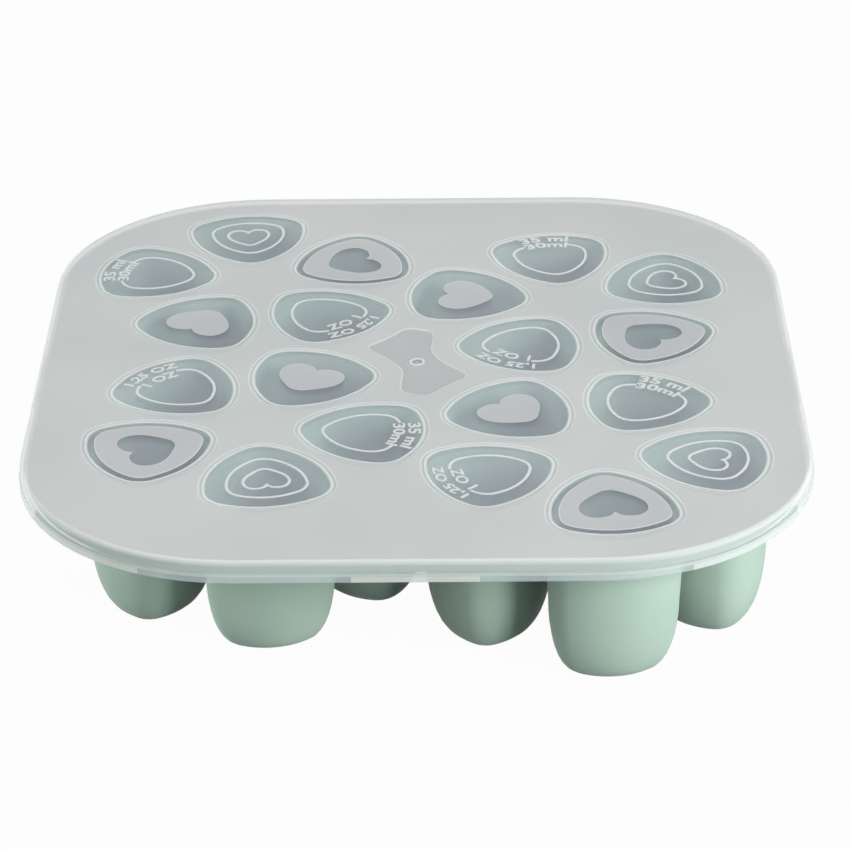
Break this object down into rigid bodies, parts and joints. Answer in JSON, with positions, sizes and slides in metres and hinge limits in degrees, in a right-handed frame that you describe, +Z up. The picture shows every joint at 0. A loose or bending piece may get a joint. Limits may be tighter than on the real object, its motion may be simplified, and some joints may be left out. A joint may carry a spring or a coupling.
{
  "type": "baby food freezer tray",
  "caption": "Soft silicone freezer tray with rounded-triangle cups set in flowers, closed by a frosted press-on lid that has a shallow window over each cup.",
  "frame": {"origin": "under the middle of the tray, level with the feet of its cups", "axes": "+Z up, +Y to the back, +X to the right as seen from the front"},
  "size_m": [0.24, 0.255, 0.052],
  "materials": {
    "tray": "soft satin silicone, sage green",
    "lid": "frosted translucent polypropylene"
  },
  "bodies": {
    "tray": {"tray_deck": "tray", "cups_back_left": "tray", "cups_back_right": "tray", "cups_front_left": "tray", "cups_front_right": "tray"},
    "lid": {"lid": "lid"}
  },
  "joints": [
    {"name": "lid_lift", "type": "slide", "parent": "tray", "child": "lid", "axis": [0, 0, 1], "range_m": [0, 0.06]}
  ]
}
